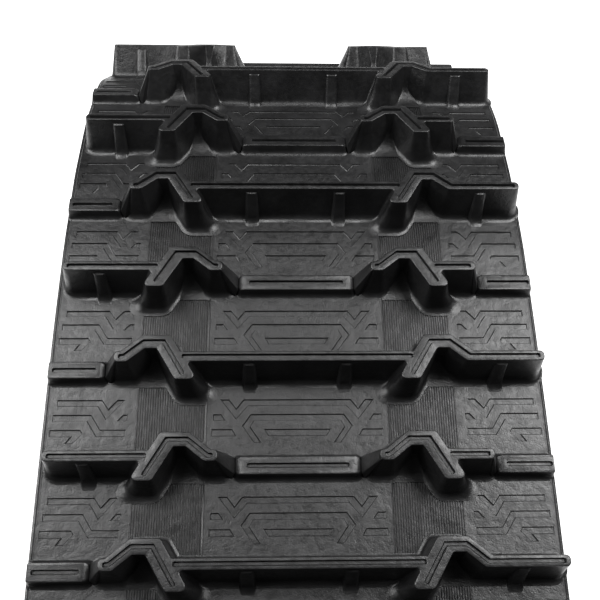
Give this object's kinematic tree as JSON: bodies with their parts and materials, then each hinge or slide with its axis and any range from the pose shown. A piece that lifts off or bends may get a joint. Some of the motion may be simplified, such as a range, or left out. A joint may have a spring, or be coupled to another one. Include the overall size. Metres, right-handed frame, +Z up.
{
  "type": "endless rubber track",
  "caption": "Wide endless rubber track for a tracked vehicle, with tall folded W lugs, low blocks, ribbed bands and drive lugs inside, standing as a long oval loop.",
  "frame": {"origin": "on the ground under the middle of the loop, at the plane of the lowest lug tops", "axes": "+X across the belt, +Y along the long way of the loop (the belt's running direction over the top), +Z up"},
  "size_m": [0.381, 1.1998, 0.6833],
  "materials": {
    "tread_rubber": "satin moulded rubber",
    "drive_rubber": "matt moulded rubber",
    "cord_ply": "rubbered tensile cord",
    "rod_composite": "pultruded glass fibre composite"
  },
  "bodies": {
    "link_01": {"tread_01": "tread_rubber", "cord_ply_01": "cord_ply", "drive_01": "drive_rubber", "rods_01": "rod_composite"},
    "link_02": {"tread_02": "tread_rubber", "cord_ply_02": "cord_ply", "drive_02": "drive_rubber", "rods_02": "rod_composite"},
    "link_03": {"tread_03": "tread_rubber", "cord_ply_03": "cord_ply", "drive_03": "drive_rubber", "rods_03": "rod_composite"},
    "link_04": {"tread_04": "tread_rubber", "cord_ply_04": "cord_ply", "drive_04": "drive_rubber", "rods_04": "rod_composite"},
    "link_05": {"tread_05": "tread_rubber", "cord_ply_05": "cord_ply", "drive_05": "drive_rubber", "rods_05": "rod_composite"},
    "link_06": {"tread_06": "tread_rubber", "cord_ply_06": "cord_ply", "drive_06": "drive_rubber", "rods_06": "rod_composite"},
    "link_07": {"tread_07": "tread_rubber", "cord_ply_07": "cord_ply", "drive_07": "drive_rubber", "rods_07": "rod_composite"},
    "link_08": {"tread_08": "tread_rubber", "cord_ply_08": "cord_ply", "drive_08": "drive_rubber", "rods_08": "rod_composite"},
    "link_09": {"tread_09": "tread_rubber", "cord_ply_09": "cord_ply", "drive_09": "drive_rubber", "rods_09": "rod_composite"},
    "link_10": {"tread_10": "tread_rubber", "cord_ply_10": "cord_ply", "drive_10": "drive_rubber", "rods_10": "rod_composite"},
    "link_11": {"tread_11": "tread_rubber", "cord_ply_11": "cord_ply", "drive_11": "drive_rubber", "rods_11": "rod_composite"},
    "link_12": {"tread_12": "tread_rubber", "cord_ply_12": "cord_ply", "drive_12": "drive_rubber", "rods_12": "rod_composite"},
    "link_13": {"tread_13": "tread_rubber", "cord_ply_13": "cord_ply", "drive_13": "drive_rubber", "rods_13": "rod_composite"},
    "link_14": {"tread_14": "tread_rubber", "cord_ply_14": "cord_ply", "drive_14": "drive_rubber", "rods_14": "rod_composite"}
  },
  "joints": [
    {"name": "flex_top", "type": "hinge", "parent": "link_01", "child": "link_14", "pos_m": [0, 0, 0.64511], "axis": [-1, 0, 0], "range_deg": [-7, 6], "stiffness_Nm_per_rad": 60, "springref_deg": -13.92},
    {"name": "flex_01", "type": "hinge", "parent": "link_01", "child": "link_02", "pos_m": [0, 0.21791, 0.64346], "axis": [1, 0, 0], "range_deg": [-4.37, 3.75], "stiffness_Nm_per_rad": 60, "springref_deg": -8.68},
    {"name": "flex_02", "type": "hinge", "parent": "link_02", "child": "link_03", "pos_m": [0, 0.4322, 0.60901], "axis": [1, 0, 0], "range_deg": [-1.34, 1.57], "stiffness_Nm_per_rad": 60, "springref_deg": 3.1},
    {"name": "flex_03", "type": "hinge", "parent": "link_03", "child": "link_04", "pos_m": [0, 0.55798, 0.45049], "axis": [1, 0, 0], "range_deg": [-5.42, 6.32], "stiffness_Nm_per_rad": 60, "springref_deg": 12.54},
    {"name": "flex_04", "type": "hinge", "parent": "link_04", "child": "link_05", "pos_m": [0, 0.55798, 0.23277], "axis": [1, 0, 0], "range_deg": [-5.42, 6.32], "stiffness_Nm_per_rad": 60, "springref_deg": 12.54},
    {"name": "flex_05", "type": "hinge", "parent": "link_05", "child": "link_06", "pos_m": [0, 0.4322, 0.07424], "axis": [1, 0, 0], "range_deg": [-1.34, 1.57], "stiffness_Nm_per_rad": 60, "springref_deg": 3.1},
    {"name": "flex_06", "type": "hinge", "parent": "link_06", "child": "link_07", "pos_m": [0, 0.21791, 0.0398], "axis": [1, 0, 0], "range_deg": [-4.37, 3.75], "stiffness_Nm_per_rad": 60, "springref_deg": -8.68},
    {"name": "flex_13", "type": "hinge", "parent": "link_14", "child": "link_13", "pos_m": [0, -0.21791, 0.64346], "axis": [-1, 0, 0], "range_deg": [-4.37, 3.75], "stiffness_Nm_per_rad": 60, "springref_deg": -8.68},
    {"name": "flex_12", "type": "hinge", "parent": "link_13", "child": "link_12", "pos_m": [0, -0.4322, 0.60901], "axis": [-1, 0, 0], "range_deg": [-1.34, 1.57], "stiffness_Nm_per_rad": 60, "springref_deg": 3.1},
    {"name": "flex_11", "type": "hinge", "parent": "link_12", "child": "link_11", "pos_m": [0, -0.55798, 0.45049], "axis": [-1, 0, 0], "range_deg": [-5.42, 6.32], "stiffness_Nm_per_rad": 60, "springref_deg": 12.54},
    {"name": "flex_10", "type": "hinge", "parent": "link_11", "child": "link_10", "pos_m": [0, -0.55798, 0.23277], "axis": [-1, 0, 0], "range_deg": [-5.42, 6.32], "stiffness_Nm_per_rad": 60, "springref_deg": 12.54},
    {"name": "flex_09", "type": "hinge", "parent": "link_10", "child": "link_09", "pos_m": [0, -0.4322, 0.07424], "axis": [-1, 0, 0], "range_deg": [-1.34, 1.57], "stiffness_Nm_per_rad": 60, "springref_deg": 3.1},
    {"name": "flex_08", "type": "hinge", "parent": "link_09", "child": "link_08", "pos_m": [0, -0.21791, 0.0398], "axis": [-1, 0, 0], "range_deg": [-4.37, 3.75], "stiffness_Nm_per_rad": 60, "springref_deg": -8.68}
  ],
  "couplings": [
    {"joint": "flex_01", "follows": "flex_top", "ratio": 0.62349},
    {"joint": "flex_02", "follows": "flex_top", "ratio": -0.22252},
    {"joint": "flex_03", "follows": "flex_top", "ratio": -0.90097},
    {"joint": "flex_04", "follows": "flex_top", "ratio": -0.90097},
    {"joint": "flex_05", "follows": "flex_top", "ratio": -0.22252},
    {"joint": "flex_06", "follows": "flex_top", "ratio": 0.62349},
    {"joint": "flex_13", "follows": "flex_top", "ratio": 0.62349},
    {"joint": "flex_12", "follows": "flex_top", "ratio": -0.22252},
    {"joint": "flex_11", "follows": "flex_top", "ratio": -0.90097},
    {"joint": "flex_10", "follows": "flex_top", "ratio": -0.90097},
    {"joint": "flex_09", "follows": "flex_top", "ratio": -0.22252},
    {"joint": "flex_08", "follows": "flex_top", "ratio": 0.62349}
  ]
}
